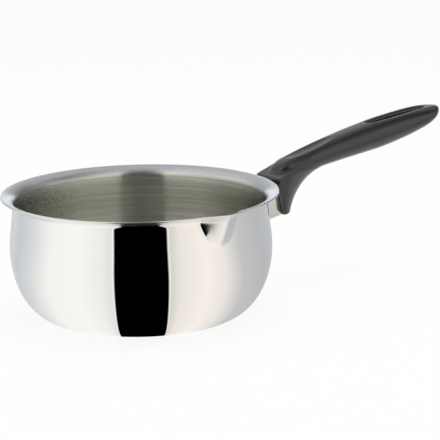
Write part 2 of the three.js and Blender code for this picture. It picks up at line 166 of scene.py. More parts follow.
# Finish of the pressed pouring lip: rougher towards its ridge, inside a wedge that widens upwards and
# fades between two shares of its half width.
LIP_ROUGHNESS = 0.3
LIP_FOOT_WIDTH = 4.0
LIP_WIDENING = 0.75
LIP_FADE = (1.1, 0.6)

# Black phenolic: how strongly it shines, and its cloudy sheen and fine grain.
PHENOLIC_IOR = 1.7
CLOUD_SCALE = 140
CLOUD_DETAIL = 4
GRAIN_SCALE = 2600
GRAIN_DETAIL = 2
GRAIN_STRENGTH = 0.05
GRAIN_DEPTH = 0.1

# Fine unevenness of polished steel.
POLISH_SCALE = 900
POLISH_DETAIL = 3

# Each finish as a colour and the least and the most roughness.
MIRROR_LOOK = ((0.93, 0.925, 0.92), (0.008, 0.02))
SATIN_LOOK = ((0.60, 0.60, 0.53), (0.1, 0.16))
# The bracket's beige is a painted reflection of the cream tent wall, not the colour of the steel.
BRACKET_LOOK_PAINTED_REFLECTION = ((0.96, 0.92, 0.84), (0.1, 0.18))
FASTENER_LOOK = ((0.62, 0.62, 0.61), (0.22, 0.34))
ALUMINIUM_LOOK = ((0.75, 0.76, 0.77), (0.25, 0.35))
PHENOLIC_LOOK = ((0.011, 0.011, 0.012), (0.2, 0.28))

# Rounded edges of the bracket and the fasteners.
BRACKET_EDGE = 0.3
NUT_EDGE = 0.25
SCREW_EDGE = 0.15
WASHER_EDGE = 0.12

# Floor: it glows for the camera, so that it stays pale, and takes a soft shadow.
FLOOR_SIZE = 6000.0
FLOOR_SHADE = 0.9
FLOOR_ROUGHNESS = 0.9
FLOOR_GLOW = 0.91

# Lamp over the pan, and cards that light only the handle, with their powers in watts.
LAMP_AT = (100.0, -100.0, 1600.0)
LAMP_SIZE = 1200.0
LAMP_POWER = 14
FLOOR_CARD_AT = (380.0, -30.0, 3.0)
FLOOR_CARD_AIM = (380.0, -30.0, 1000.0)
FLOOR_CARD_SIZE = 300.0
FLOOR_CARD_POWER = 0.12
BACK_CARD_AT = (560.0, 780.0, 600.0)
BACK_CARD_AIM = (200.0, 0.0, 100.0)
BACK_CARD_SIZE = 800.0
BACK_CARD_POWER = 0.5

# Floor of the light tent, seen only in shiny surfaces: its middle, the end of its dark slit, and how far
# it lies under the pale floor.
TENT_CENTRE = (44.6, 1.6)
SLIT_END = 12.6
TENT_FLOOR_DROP = 0.2

# Tent walls by their bearing in degrees from the camera's side, positive to the right, with colours.
TENT_WALLS = [
    (-180, (0.58, 0.60, 0.64)),
    (-174, (0.58, 0.60, 0.64)),
    (-170, (0.96, 0.98, 1.0)),
    (-160, (0.60, 0.62, 0.66)),
    (-140, (0.68, 0.70, 0.73)),
    (-125, (0.60, 0.63, 0.65)),
    (-104, (0.72, 0.74, 0.75)),
    (-82, (0.97, 0.96, 0.93)),
    (-55, (1.0, 0.99, 0.95)),
    (-34, (0.92, 0.91, 0.88)),
    (-23.7, (0.80, 0.79, 0.77)),
    (-23.2, (1.0, 0.99, 0.97)),
    (-22.3, (1.0, 0.99, 0.97)),
    (-22.0, (0.0, 0.0, 0.0)),
    (24.3, (0.0, 0.0, 0.0)),
    (24.7, (0.96, 0.95, 0.92)),
    (25.4, (0.96, 0.95, 0.92)),
    (25.9, (0.70, 0.68, 0.65)),
    (36, (0.88, 0.84, 0.79)),
    (60, (0.99, 0.93, 0.87)),
    (76, (0.88, 0.84, 0.80)),
    (95, (0.57, 0.58, 0.58)),
    (125, (0.50, 0.51, 0.52)),
    (158, (0.56, 0.58, 0.62)),
    (166, (0.95, 0.98, 1.0)),
    (172, (0.95, 0.98, 1.0)),
    (178, (0.58, 0.60, 0.64)),
    (180, (0.58, 0.60, 0.64)),
]

# The lower and the upper sides of the tent by the same bearings.
TENT_LOWER_SIDES = [
    (-180, (0.40, 0.41, 0.43)),
    (-160, (0.42, 0.43, 0.45)),
    (-140, (0.42, 0.44, 0.47)),
    (-120, (0.80, 0.81, 0.82)),
    (-90, (1.0, 1.0, 1.0)),
    (-21.6, (1.0, 1.0, 0.98)),
    (-21.0, (0.05, 0.05, 0.05)),
    (20.2, (0.05, 0.05, 0.05)),
    (20.8, (0.90, 0.90, 0.88)),
    (60, (0.90, 0.90, 0.88)),
    (90, (0.85, 0.85, 0.85)),
    (115, (0.30, 0.30, 0.31)),
    (140, (0.10, 0.11, 0.12)),
    (158, (0.20, 0.21, 0.23)),
    (180, (0.40, 0.41, 0.43)),
]
TENT_UPPER_SIDES = [
    (-180, (0.42, 0.44, 0.47)),
    (-60, (0.85, 0.86, 0.88)),
    (-40, (1.0, 1.0, 0.98)),
    (-21.6, (1.0, 1.0, 0.98)),
    (-21.0, (0.08, 0.08, 0.08)),
    (20.2, (0.08, 0.08, 0.08)),
    (20.8, (0.92, 0.92, 0.90)),
    (55, (0.9, 0.9, 0.88)),
    (80, (0.35, 0.35, 0.36)),
    (95, (0.13, 0.13, 0.14)),
    (122, (0.13, 0.13, 0.14)),
    (142, (0.36, 0.38, 0.41)),
    (180, (0.42, 0.44, 0.47)),
]

# Sines of the elevations between which one zone of the tent passes into the next one above it.
WALLS_TO_LOWER = (0.06, 0.09)
LOWER_TO_UPPER = (0.45, 0.62)
UPPER_TO_ROOF = (0.95, 0.99)
ROOF_COLOUR = (0.30, 0.31, 0.32)

# A bright opening low in the back of the tent: how far back its sides are, as cosines, and its top.
WINDOW_SIDES = (0.90, 0.94)
WINDOW_TOP = (0.17, 0.27)
WINDOW_COLOUR = (0.94, 0.98, 1.06)

# Even light for dull surfaces.
DAYLIGHT = 0.6

# Values worked out from the ones above.
RIM_HEIGHT = NECK_HEIGHT + FLARE_HEIGHT * math.sin(FLARE_SWEEP)
RIM_RADIUS = NECK_RADIUS + FLARE_WIDTH * (1 - math.cos(FLARE_SWEEP))
SPOUT_FOOT = RIM_HEIGHT - SPOUT_DEPTH
BRACKET_Z = NECK_HEIGHT - BRACKET_BELOW_NECK
SLOT_AT = GRIP_LENGTH - SLOT_TO_TIP - SLOT_LENGTH / 2
CAMERA_AZIMUTH = math.atan2(CAMERA_AT[1] - CAMERA_LOOKS_AT[1], CAMERA_AT[0] - CAMERA_LOOKS_AT[0])

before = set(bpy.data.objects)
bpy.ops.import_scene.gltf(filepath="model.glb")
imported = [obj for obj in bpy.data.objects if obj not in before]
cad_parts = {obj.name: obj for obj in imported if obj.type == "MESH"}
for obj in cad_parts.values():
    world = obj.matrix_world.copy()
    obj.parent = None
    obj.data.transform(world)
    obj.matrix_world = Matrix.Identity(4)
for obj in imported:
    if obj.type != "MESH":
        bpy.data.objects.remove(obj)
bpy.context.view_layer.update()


# Meshes

def new_object(name, vertices, faces):
    mesh = bpy.data.meshes.new(name)
    mesh.from_pydata([tuple(MM * c for c in v) for v in vertices], [], faces)
    mesh.update()
    piece = bpy.data.objects.new(name, mesh)
    bpy.context.scene.collection.objects.link(piece)
    return piece


def loft(name, rings, first, last):
    """A closed skin over rings of equally many points, with a point at each end."""
    sides = len(rings[0])
    vertices = [point for ring in rings for point in ring] + [first, last]
    first_index = len(vertices) - 2
    last_index = len(vertices) - 1
    last_ring = (len(rings) - 1) * sides
    faces = []
    for i in range(sides):
        after = (i + 1) % sides
        faces.append((first_index, after, i))
        faces.append((last_index, last_ring + i, last_ring + after))
        for row in range(0, last_ring, sides):
            faces.append((row + i, row + after, row + sides + after, row + sides + i))
    return new_object(name, vertices, faces)


def new_box(name, span_x, span_y, span_z):
    vertices = [(x, y, z) for x in span_x for y in span_y for z in span_z]
    faces = [(0, 1, 3, 2), (4, 6, 7, 5), (0, 4, 5, 1), (2, 3, 7, 6), (0, 2, 6, 4), (1, 5, 7, 3)]
    return new_object(name, vertices, faces)


def new_bar(name, diameter, span_x):
    """A round bar along X."""
    rings = []
    for x in span_x:
        turns = [2 * math.pi * i / ROUND_SIDES for i in range(ROUND_SIDES)]
        rings.append([(x, diameter / 2 * math.cos(t), diameter / 2 * math.sin(t)) for t in turns])
    return loft(name, rings, (span_x[0], 0, 0), (span_x[1], 0, 0))


def new_ball(name, half_sizes):
    rings = []
    for row in range(1, BALL_ROWS):
        tilt = math.pi * row / BALL_ROWS
        turns = [2 * math.pi * i / BALL_COLUMNS for i in range(BALL_COLUMNS)]
        ring = [(math.sin(tilt) * math.cos(t), math.sin(tilt) * math.sin(t), -math.cos(tilt)) for t in turns]
        rings.append([tuple(c * h for c, h in zip(point, half_sizes)) for point in ring])
    return loft(name, rings, (0, 0, -half_sizes[2]), (0, 0, half_sizes[2]))


def turn_and_move(piece, tilt, place):
    """Tilts a mesh up about Y and moves it, with place in millimetres."""
    turn = Matrix.Rotation(-tilt, 4, "Y")
    piece.data.transform(Matrix.Translation(Vector(place) * MM) @ turn)


def smooth_by_angle(piece, angle):
    piece.data.shade_smooth()
    piece.data.set_sharp_from_angle(angle=math.radians(angle))


def apply_modifiers(piece):
    bpy.context.view_layer.update()
    graph = bpy.context.evaluated_depsgraph_get()
    made = bpy.data.meshes.new_from_object(piece.evaluated_get(graph))
    piece.modifiers.clear()
    piece.data = made


def combine(piece, other, operation):
    """Joins or cuts piece with other, which is used up."""
    change = piece.modifiers.new(operation, "BOOLEAN")
    change.operation = operation
    change.solver = "EXACT"
    change.object = other
    apply_modifiers(piece)
    bpy.data.objects.remove(other)


# Bowl

def wall_radius(z):
    share = (z - BELLY_HEIGHT) / (NECK_HEIGHT - BELLY_HEIGHT)
    middle = (BELLY_RADIUS + NECK_RADIUS) / 2
    return middle + (BELLY_RADIUS - NECK_RADIUS) / 2 * math.cos(math.pi * share)


FACE_X = wall_radius(BRACKET_Z) + BRACKET_REACH


def bowl_profile(corner_steps, wall_steps, flare_steps):
    """Points (r, z, normal r, normal z) of the outer face, from the edge of the base to the rim."""
    points = []

    def add(r, z, normal_r, normal_z):
        length = math.hypot(normal_r, normal_z)
        points.append((r, z, normal_r / length, normal_z / length))

    reach = BELLY_RADIUS - BASE_RADIUS
    for i in range(corner_steps + 1):
        turn = i / corner_steps * math.pi / 2
        r = BASE_RADIUS + reach * math.sin(turn)
        z = BELLY_HEIGHT * (1 - math.cos(turn))
        add(r, z, BELLY_HEIGHT * math.sin(turn), -reach * math.cos(turn))
    height = NECK_HEIGHT - BELLY_HEIGHT
    for i in range(1, wall_steps + 1):
        share = i / wall_steps
        lean = (NECK_RADIUS - BELLY_RADIUS) / 2 * math.pi * math.sin(math.pi * share)
        z = BELLY_HEIGHT + height * share
        add(wall_radius(z), z, height, -lean)
    for i in range(1, flare_steps + 1):
        turn = i / flare_steps * FLARE_SWEEP
        r = NECK_RADIUS + FLARE_WIDTH * (1 - math.cos(turn))
        z = NECK_HEIGHT + FLARE_HEIGHT * math.sin(turn)
        add(r, z, FLARE_HEIGHT * math.cos(turn), -FLARE_WIDTH * math.sin(turn))
    return points


def spout_rise(z):
    return max(0.0, (z - SPOUT_FOOT) / SPOUT_DEPTH)


def spout_half_angle(z):
    spread = SPOUT_HALF_ANGLE - SPOUT_LEAST_ANGLE
    if z > SPOUT_FOOT:
        return SPOUT_LEAST_ANGLE + spread * spout_rise(z) ** SPOUT_SPREAD_POWER
    return SPOUT_LEAST_ANGLE + spread * (1 - z / SPOUT_FOOT)


def spout_ridge(r, z):
    foot = wall_radius(SPOUT_FOOT)
    reach = RIM_RADIUS + SPOUT_REACH - foot
    ridge = foot + reach * spout_rise(z)
    return max(0.0, ridge - r) if z > SPOUT_FOOT else 0.0


def spout_section(across):
    edge = math.hypot(1, SPOUT_RIDGE_ROUND)
    return (edge - math.hypot(across, SPOUT_RIDGE_ROUND)) / (edge - SPOUT_RIDGE_ROUND)


def polar(r, angle, z):
    return (r * math.cos(angle), r * math.sin(angle), z)


def bowl_ring(point, depth, past_edge=0.0):
    """A ring at a depth under the outer face, its columns gathered at the pouring lip."""
    r0, z0, normal_r, normal_z = point
    r = r0 - depth * normal_r - past_edge * normal_z
    z = z0 - depth * normal_z + past_edge * normal_r
    half = spout_half_angle(z0)
    ridge = spout_ridge(r0, z0)
    ring = []
    for i in range(SPOUT_COLUMNS + 1):
        across = 2 * i / SPOUT_COLUMNS - 1
        ring.append(polar(r + ridge * spout_section(across), SPOUT_ANGLE + across * half, z))
    for i in range(1, REST_COLUMNS):
        angle = SPOUT_ANGLE + half + i / REST_COLUMNS * (2 * math.pi - 2 * half)
        ring.append(polar(r, angle, z))
    return ring


def make_ply(name, depths, steps):
    """One ply of the bowl between two depths, with its share of the rounded cut edge."""
    profile = bowl_profile(*steps)
    outer, inner = depths
    rings = [bowl_ring(point, outer) for point in profile]
    for i in range(EDGE_STEPS + 1):
        depth = outer + (inner - outer) * i / EDGE_STEPS
        off_middle = 2 * depth / SHEET - 1
        rings.append(bowl_ring(profile[-1], depth, EDGE_ROUND * (1 - off_middle * off_middle)))
    rings += [bowl_ring(point, inner) for point in reversed(profile)]
    piece = loft(name, rings, (0, 0, outer), (0, 0, inner))
    smooth_by_angle(piece, BOWL_SHARP)
    return piece


# Grip

def round_end(distance, length):
    short = max(0.0, 1 - distance / length)
    return math.sqrt(1 - short * short)


def crown_height(along):
    left = max(0.0, 1 - along / GRIP_LENGTH)
    return CROWN_START + CROWN_RISE * (1 - left ** CROWN_POWER)


def crown_slope(along):
    left = max(0.0, 1 - along / GRIP_LENGTH)
    return CROWN_RISE * CROWN_POWER / GRIP_LENGTH * left ** (CROWN_POWER - 1)


def swell(root, full, along):
    short = max(0.0, 1 - along / GRIP_SWELL_AT)
    return full - (full - root) * short ** GRIP_SWELL_POWER


def signed_power(value, power):
    return math.copysign(abs(value) ** power, value)


def grip_ring(along):
    to_tip = GRIP_LENGTH - along
    nose = round_end(along, GRIP_NOSE_ROUND)
    taper = round_end(to_tip, GRIP_TIP_TAPER)
    body = swell(GRIP_ROOT_THICKNESS, GRIP_THICKNESS, along) / 2
    half_thickness = body * nose * taper
    width = swell(GRIP_ROOT_WIDTH, GRIP_WIDTH, along)
    half_width = width / 2 * nose * round_end(to_tip, GRIP_TIP_ROUND)
    middle = crown_height(along) - body * taper - GRIP_TIP_DROP * (1 - taper)
    ring = []
    for i in range(GRIP_SIDES):
        turn = 2 * math.pi * i / GRIP_SIDES
        y = half_width * signed_power(math.cos(turn), 2 / GRIP_SQUARENESS)
        z = middle + half_thickness * signed_power(math.sin(turn), 2 / GRIP_SQUARENESS)
        ring.append((GRIP_START + along, y, z))
    return ring


def grip_bar():
    rings = []
    for i in range(1, GRIP_RINGS):
        share = (1 - math.cos(math.pi * i / GRIP_RINGS)) / 2
        rings.append(grip_ring(share * GRIP_LENGTH))
    nose = (GRIP_START, 0, CROWN_START - GRIP_ROOT_THICKNESS / 2)
    tip = (GRIP_START + GRIP_LENGTH, 0, crown_height(GRIP_LENGTH) - GRIP_TIP_DROP)
    return loft("grip_bar", rings, nose, tip)


def skirt_front(z):
    return -z * math.tan(BRACKET_TILT)


def skirt_ring(back, z, share):
    front = skirt_front(z)
    middle = (front + back) / 2
    ring = []
    for i in range(SKIRT_SIDES + 1):
        turn = math.pi * (i / SKIRT_SIDES - 0.5)
        x = front + (back - front) * math.cos(turn)
        y = SKIRT_HALF_WIDTH * math.sin(turn)
        ring.append((middle + (x - middle) * share, y * share, z))
    return ring


def curve_point(start, pull, end, share):
    left = 1 - share
    return [left * left * a + 2 * left * share * b + share * share * c for a, b, c in zip(start, pull, end)]


def middle_of(ring):
    return tuple(sum(column) / len(ring) for column in zip(*ring))


def grip_skirt():
    start = (SKIRT_FOOT_DEPTH, SKIRT_FOOT_ROUND - SKIRT_DROP)
    rings = []
    for i in range(SKIRT_FOOT_STEPS):
        z = -SKIRT_DROP + i / SKIRT_FOOT_STEPS * SKIRT_FOOT_ROUND
        share = SKIRT_FOOT_SHARE + (1 - SKIRT_FOOT_SHARE) * round_end(i, SKIRT_FOOT_STEPS)
        rings.append(skirt_ring(SKIRT_FOOT_DEPTH, z, share))
    for i in range(SKIRT_RINGS + 1):
        back, z = curve_point(start, SKIRT_HOLLOW, SKIRT_BACK, i / SKIRT_RINGS)
        rings.append(skirt_ring(back, z, 1))
    top = crown_height(SKIRT_BACK[0]) - GRIP_ROOT_THICKNESS / 2
    rings.append(skirt_ring(SKIRT_BACK[0], top, 1))
    skirt = loft("grip_skirt", rings, middle_of(rings[0]), middle_of(rings[-1]))
    wide = (-CLEAR_OF_ALL, CLEAR_OF_ALL)
    above = new_box("above_shoulder", wide, wide, (0, CLEAR_OF_ALL))
    turn_and_move(above, SHOULDER_SLOPE, (skirt_front(SHOULDER_RISE), 0, SHOULDER_RISE))
    combine(skirt, above, "DIFFERENCE")
    return skirt


def thumb_dish():
    radius = DISH_BALL_RISE + DISH_DEPTH
    spread = math.sqrt(1 - (DISH_BALL_RISE / radius) ** 2)
    ball = new_ball("thumb_dish", (DISH_LENGTH / 2 / spread, DISH_WIDTH / 2 / spread, radius))
    turn_and_move(ball, 0, (0, 0, DISH_BALL_RISE))
    turn_and_move(ball, math.atan(crown_slope(DISH_AT)), (GRIP_START + DISH_AT, 0, crown_height(DISH_AT)))
    return ball


def hanging_slot():
    rings = []
    for z in (0, CLEAR_OF_ALL):
        turns = [2 * math.pi * i / ROUND_SIDES for i in range(ROUND_SIDES)]
        middle = GRIP_START + SLOT_AT
        ring = [(middle + SLOT_LENGTH / 2 * math.cos(t), SLOT_WIDTH / 2 * math.sin(t), z) for t in turns]
        rings.append(ring)
    return loft("hanging_slot", rings, (GRIP_START + SLOT_AT, 0, 0), (GRIP_START + SLOT_AT, 0, CLEAR_OF_ALL))


def fastening_cuts():
    half_y = BRACKET_WIDTH / 2 + SOCKET_CLEARANCE
    half_z = BRACKET_HEIGHT / 2 + SOCKET_CLEARANCE
    yield new_box("socket", (-SKIRT_DROP, SOCKET_DEPTH), (-half_y, half_y), (-half_z, half_z))
    yield new_bar("screw_hole", SCREW_HOLE, (-SKIRT_DROP, SCREW_SHOULDER + SOCKET_DEPTH))
    yield new_bar("counterbore", COUNTERBORE, (SCREW_SHOULDER, SKIRT_BACK[0]))


def round_slot_lip(grip):
    """Smooths the grip further within a narrow border of the hanging slot."""
    lip = grip.vertex_groups.new(name="slot_lip")
    half_length = SLOT_LENGTH / 2 + SLOT_LIP
    half_width = SLOT_WIDTH / 2 + SLOT_LIP
    for vertex in grip.data.vertices:
        place = vertex.co / MM
        along = (place.x - GRIP_START - SLOT_AT) / half_length
        if math.hypot(along, place.y / half_width) < 1:
            lip.add([vertex.index], 1, "REPLACE")
    relax = grip.modifiers.new("relax_lip", "SMOOTH")
    relax.iterations = LIP_SMOOTHING
    relax.vertex_group = "slot_lip"
    apply_modifiers(grip)


def make_grip():
    grip = grip_bar()
    combine(grip, grip_skirt(), "UNION")
    combine(grip, thumb_dish(), "DIFFERENCE")
    combine(grip, hanging_slot(), "DIFFERENCE")
    soften = grip.modifiers.new("soften", "REMESH")
    soften.mode = "VOXEL"
    soften.voxel_size = GRIP_VOXEL * MM
    relax = grip.modifiers.new("relax", "SMOOTH")
    relax.iterations = GRIP_SMOOTHING
    apply_modifiers(grip)
    round_slot_lip(grip)
    place = (FACE_X, 0, BRACKET_Z)
    turn_and_move(grip, 0, place)
    for cutter in fastening_cuts():
        turn_and_move(cutter, BRACKET_TILT, place)
        combine(grip, cutter, "DIFFERENCE")
    grip.name = "grip_moulding"
    smooth_by_angle(grip, GRIP_SHARP)
    return grip


# Materials

def new_material(name):
    material = bpy.data.materials.new(name)
    material.use_nodes = True
    nodes = material.node_tree.nodes
    return material, nodes, material.node_tree.links, nodes["Principled BSDF"]


def noise(nodes, links, scale, stretch, detail):
    """A noise in the object's own coordinates, stretched along the axes."""
    place = nodes.new("ShaderNodeTexCoord")
    mapping = nodes.new("ShaderNodeMapping")
    mapping.inputs["Scale"].default_value = stretch
    texture = nodes.new("ShaderNodeTexNoise")
    texture.inputs["Scale"].default_value = scale
    texture.inputs["Detail"].default_value = detail
    links.new(place.outputs["Object"], mapping.inputs["Vector"])
    links.new(mapping.outputs["Vector"], texture.inputs["Vector"])
    return texture.outputs["Fac"]


def even_noise(nodes, links, scale, detail):
    return noise(nodes, links, scale, (1, 1, 1), detail)


def remap(nodes, links, value, low, high):
    """A value between 0 and 1 brought between low and high."""
    ranged = nodes.new("ShaderNodeMapRange")
    ranged.inputs["To Min"].default_value = low
    ranged.inputs["To Max"].default_value = high
    links.new(value, ranged.inputs["Value"])
    return ranged.outputs["Result"]


def step_up(nodes, links, value, span):
    """0 before a span, 1 past it and a share of it in between. A span may run downwards."""
    step = nodes.new("ShaderNodeMapRange")
    step.inputs["From Min"].default_value = span[0]
    step.inputs["From Max"].default_value = span[1]
    links.new(value, step.inputs["Value"])
    return step.outputs["Result"]


def calculate(nodes, links, operation, *values):
    """A math node on values that are numbers or come from other nodes."""
    made = nodes.new("ShaderNodeMath")
    made.operation = operation
    for socket, value in zip(made.inputs, values):
        if isinstance(value, (int, float)):
            socket.default_value = value
        else:
            links.new(value, socket)
    return made.outputs[0]


def combine_vectors(nodes, links, operation, first, second):
    made = nodes.new("ShaderNodeVectorMath")
    made.operation = operation
    links.new(first, made.inputs[0])
    links.new(second, made.inputs[1])
    return made.outputs["Vector"]


def turned_parts(nodes, links, direction, angle):
    """The X, Y and Z of a direction after a turn about Z."""
    turned = nodes.new("ShaderNodeVectorRotate")
    turned.rotation_type = "Z_AXIS"
    turned.inputs["Angle"].default_value = angle
    links.new(direction, turned.inputs["Vector"])
    parts = nodes.new("ShaderNodeSeparateXYZ")
    links.new(turned.outputs["Vector"], parts.inputs["Vector"])
    return parts.outputs


def height_of(nodes, links, place):
    parts = nodes.new("ShaderNodeSeparateXYZ")
    links.new(place, parts.inputs["Vector"])
    return parts.outputs["Z"]


def object_place(nodes):
    return nodes.new("ShaderNodeTexCoord").outputs["Object"]


def new_mix(nodes, links, share):
    """A mix of two colours by a share that comes from another node."""
    mixed = nodes.new("ShaderNodeMix")
    mixed.data_type = "RGBA"
    links.new(share, mixed.inputs["Factor"])
    return mixed


def set_stops(ramp, stops):
    elements = ramp.color_ramp.elements
    while len(elements) < len(stops):
        elements.new(1)
    for element, (position, colour) in zip(elements, stops):
        element.position = position
        element.color = (*colour, 1)


def polished_steel(name, colour, roughness):
    material, nodes, links, shader = new_material(name)
    shader.inputs["Metallic"].default_value = 1
    shader.inputs["Base Color"].default_value = (*colour, 1)
    grain = even_noise(nodes, links, POLISH_SCALE, POLISH_DETAIL)
    links.new(remap(nodes, links, grain, *roughness), shader.inputs["Roughness"])
    return material


def add_roughness(material, find_share, amount):
    """Makes a polished steel rougher by an amount where find_share gives 1."""
    nodes = material.node_tree.nodes
    links = material.node_tree.links
    shader = nodes["Principled BSDF"]
    polish = shader.inputs["Roughness"].links[0].from_socket
    share = find_share(nodes, links)
    links.new(calculate(nodes, links, "MULTIPLY_ADD", share, amount, polish), shader.inputs["Roughness"])


def share_of_rim(nodes, links):
    """1 on the turned rim and 0 below it."""
    height = height_of(nodes, links, object_place(nodes))
    return step_up(nodes, links, height, (DULL_FROM * MM, DULL_TO * MM))


def share_of_lip(nodes, links):
    """1 at the ridge of the pressed pouring lip and 0 outside its wedge."""
    parts = turned_parts(nodes, links, object_place(nodes), -SPOUT_ANGLE)
    beside = calculate(nodes, links, "ABSOLUTE", parts["Y"])
    above = calculate(nodes, links, "SUBTRACT", parts["Z"], SPOUT_FOOT * MM)
    width = calculate(nodes, links, "MULTIPLY_ADD", above, LIP_WIDENING, LIP_FOOT_WIDTH * MM)
    near_ridge = step_up(nodes, links, calculate(nodes, links, "DIVIDE", beside, width), LIP_FADE)
    facing = step_up(nodes, links, parts["X"], (0, NECK_RADIUS / 2 * MM))
    high = step_up(nodes, links, above, (-LIP_FOOT_WIDTH * MM, LIP_FOOT_WIDTH * MM))
    there = calculate(nodes, links, "MULTIPLY", facing, high)
    return calculate(nodes, links, "MULTIPLY", near_ridge, there)


def brushed_tilt(nodes, links, streaks, height, on_rim):
    """The slope by which fine scratches, longer streaks and the neck's lean tip the brushed surface."""
    surface = nodes.new("ShaderNodeNewGeometry")
    scratch = nodes.new("ShaderNodeTexWhiteNoise")
    links.new(surface.outputs["Position"], scratch.inputs["Vector"])
    shares = nodes.new("ShaderNodeSeparateColor")
    links.new(scratch.outputs["Color"], shares.inputs["Color"])
    both = calculate(nodes, links, "ADD", shares.outputs["Red"], shares.outputs["Green"])
    mean = calculate(nodes, links, "MULTIPLY", both, 0.5)
    fine = remap(nodes, links, mean, -SCRATCH_TILT, SCRATCH_TILT)
    finer = calculate(nodes, links, "MULTIPLY", fine, remap(nodes, links, on_rim, 1, RIM_TILT_SHARE))
    neck = step_up(nodes, links, height, (LEAN_FROM * MM, NECK_HEIGHT * MM))
    lean = remap(nodes, links, neck, 0, -NECK_LEAN)
    streaked = remap(nodes, links, streaks, -STREAK_TILT, STREAK_TILT)
    return calculate(nodes, links, "ADD", finer, calculate(nodes, links, "ADD", lean, streaked))


def tipped_normal(nodes, links, tilt):
    """The surface's normal, tipped by a slope across the rings of the brushing."""
    normal = nodes.new("ShaderNodeNewGeometry").outputs["Normal"]
    ring = nodes.new("ShaderNodeTangent")
    ring.direction_type = "RADIAL"
    ring.axis = "Z"
    tipped = nodes.new("ShaderNodeVectorMath")
    tipped.operation = "SCALE"
    across = combine_vectors(nodes, links, "CROSS_PRODUCT", normal, ring.outputs["Tangent"])
    links.new(across, tipped.inputs["Vector"])
    links.new(tilt, tipped.inputs["Scale"])
    unit = nodes.new("ShaderNodeVectorMath")
    unit.operation = "NORMALIZE"
    links.new(combine_vectors(nodes, links, "ADD", normal, tipped.outputs["Vector"]), unit.inputs[0])
    return unit.outputs["Vector"]


def brushed_steel(name, colour, roughness):
    """Satin steel brushed in rings round the bowl's axis, with a turned rim whose paler colour is a painted
    highlight.
    """
    material, nodes, links, shader = new_material(name)
    shader.inputs["Metallic"].default_value = SATIN_METALLIC
    height = height_of(nodes, links, object_place(nodes))
    on_rim = step_up(nodes, links, height, (NECK_HEIGHT * MM, RIM_HEIGHT * MM))
    streaks = noise(nodes, links, 1, STREAK_STRETCH, STREAK_DETAIL)
    shade = nodes.new("ShaderNodeValToRGB")
    darkest = [c * (1 - STREAK_SHADE) for c in colour]
    lightest = [c * (1 + STREAK_SHADE) for c in colour]
    set_stops(shade, [(0, darkest), (1, lightest)])
    links.new(streaks, shade.inputs["Fac"])
    # The turned rim gets a paler colour, which is a painted highlight.
    painted_rim_highlight = new_mix(nodes, links, on_rim)
    links.new(shade.outputs["Color"], painted_rim_highlight.inputs["A"])
    painted_rim_highlight.inputs["B"].default_value = (*RIM_PAINTED_HIGHLIGHT, 1)
    links.new(painted_rim_highlight.outputs["Result"], shader.inputs["Base Color"])
    links.new(remap(nodes, links, streaks, *roughness), shader.inputs["Roughness"])
    tilt = brushed_tilt(nodes, links, streaks, height, on_rim)
    links.new(tipped_normal(nodes, links, tilt), shader.inputs["Normal"])
    return material


def phenolic(name, colour, roughness):
    material, nodes, links, shader = new_material(name)
    shader.inputs["Base Color"].default_value = (*colour, 1)
    shader.inputs["IOR"].default_value = PHENOLIC_IOR
    cloud = even_noise(nodes, links, CLOUD_SCALE, CLOUD_DETAIL)
    links.new(remap(nodes, links, cloud, *roughness), shader.inputs["Roughness"])
    bump = nodes.new("ShaderNodeBump")
    bump.inputs["Strength"].default_value = GRAIN_STRENGTH
    bump.inputs["Distance"].default_value = GRAIN_DEPTH * MM
    grain = even_noise(nodes, links, GRAIN_SCALE, GRAIN_DETAIL)
    links.new(grain, bump.inputs["Height"])
    links.new(bump.outputs["Normal"], shader.inputs["Normal"])
    return material


MIRROR = polished_steel("mirror_steel", *MIRROR_LOOK)
add_roughness(MIRROR, share_of_rim, RIM_ROUGHNESS)
add_roughness(MIRROR, share_of_lip, LIP_ROUGHNESS)
SATIN = brushed_steel("satin_steel", *SATIN_LOOK)
# The bracket's beige colour is a painted reflection of the cream tent wall.
BRACKET_STEEL_PAINTED_REFLECTION = polished_steel("bracket_steel", *BRACKET_LOOK_PAINTED_REFLECTION)
FASTENER_STEEL = polished_steel("fastener_steel", *FASTENER_LOOK)
ALUMINIUM = polished_steel("core_aluminium", *ALUMINIUM_LOOK)
PHENOLIC = phenolic("black_phenolic", *PHENOLIC_LOOK)


# Pieces

def dress(piece, material, node):
    """Gives a new piece its material and lets it stand for a CAD node."""
    piece.data.materials.clear()
    piece.data.materials.append(material)
    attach(piece, "root")
    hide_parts(node)


FINE = (CORNER_STEPS, WALL_STEPS, FLARE_STEPS)
PLAIN = (CORNER_STEPS // 4, WALL_STEPS // 2, FLARE_STEPS)
dress(make_ply("bowl_outside", OUTER_PLY, FINE), MIRROR, "outer_steel_ply")
dress(make_ply("bowl_core", CORE_PLY, PLAIN), ALUMINIUM, "aluminium_core_ply")
dress(make_ply("bowl_inside", INNER_PLY, FINE), SATIN, "inner_steel_ply")
grip_piece = make_grip()
dress(grip_piece, PHENOLIC, "handle_grip")


def soften_node(node, name, width, material):
    """A copy of a CAD node with its edges rounded."""
    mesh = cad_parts[node].data.copy()
    piece = bpy.data.objects.new(name, mesh)
    bpy.context.scene.collection.objects.link(piece)
    shape = bmesh.new()
    shape.from_mesh(mesh)
    bmesh.ops.remove_doubles(shape, verts=shape.verts, dist=SAME_POINT * MM)
    flat = math.radians(SAME_FACE)
    bmesh.ops.dissolve_limit(shape, angle_limit=flat, verts=shape.verts, edges=shape.edges)
    shape.to_mesh(mesh)
    shape.free()
    rounding = piece.modifiers.new("rounding", "BEVEL")
    rounding.width = width * MM
    rounding.segments = EDGE_SEGMENTS
    rounding.limit_method = "ANGLE"
    rounding.angle_limit = math.radians(ROUNDED_OVER)
    apply_modifiers(piece)
    smooth_by_angle(piece, HARDWARE_SHARP)
    dress(piece, material, node)


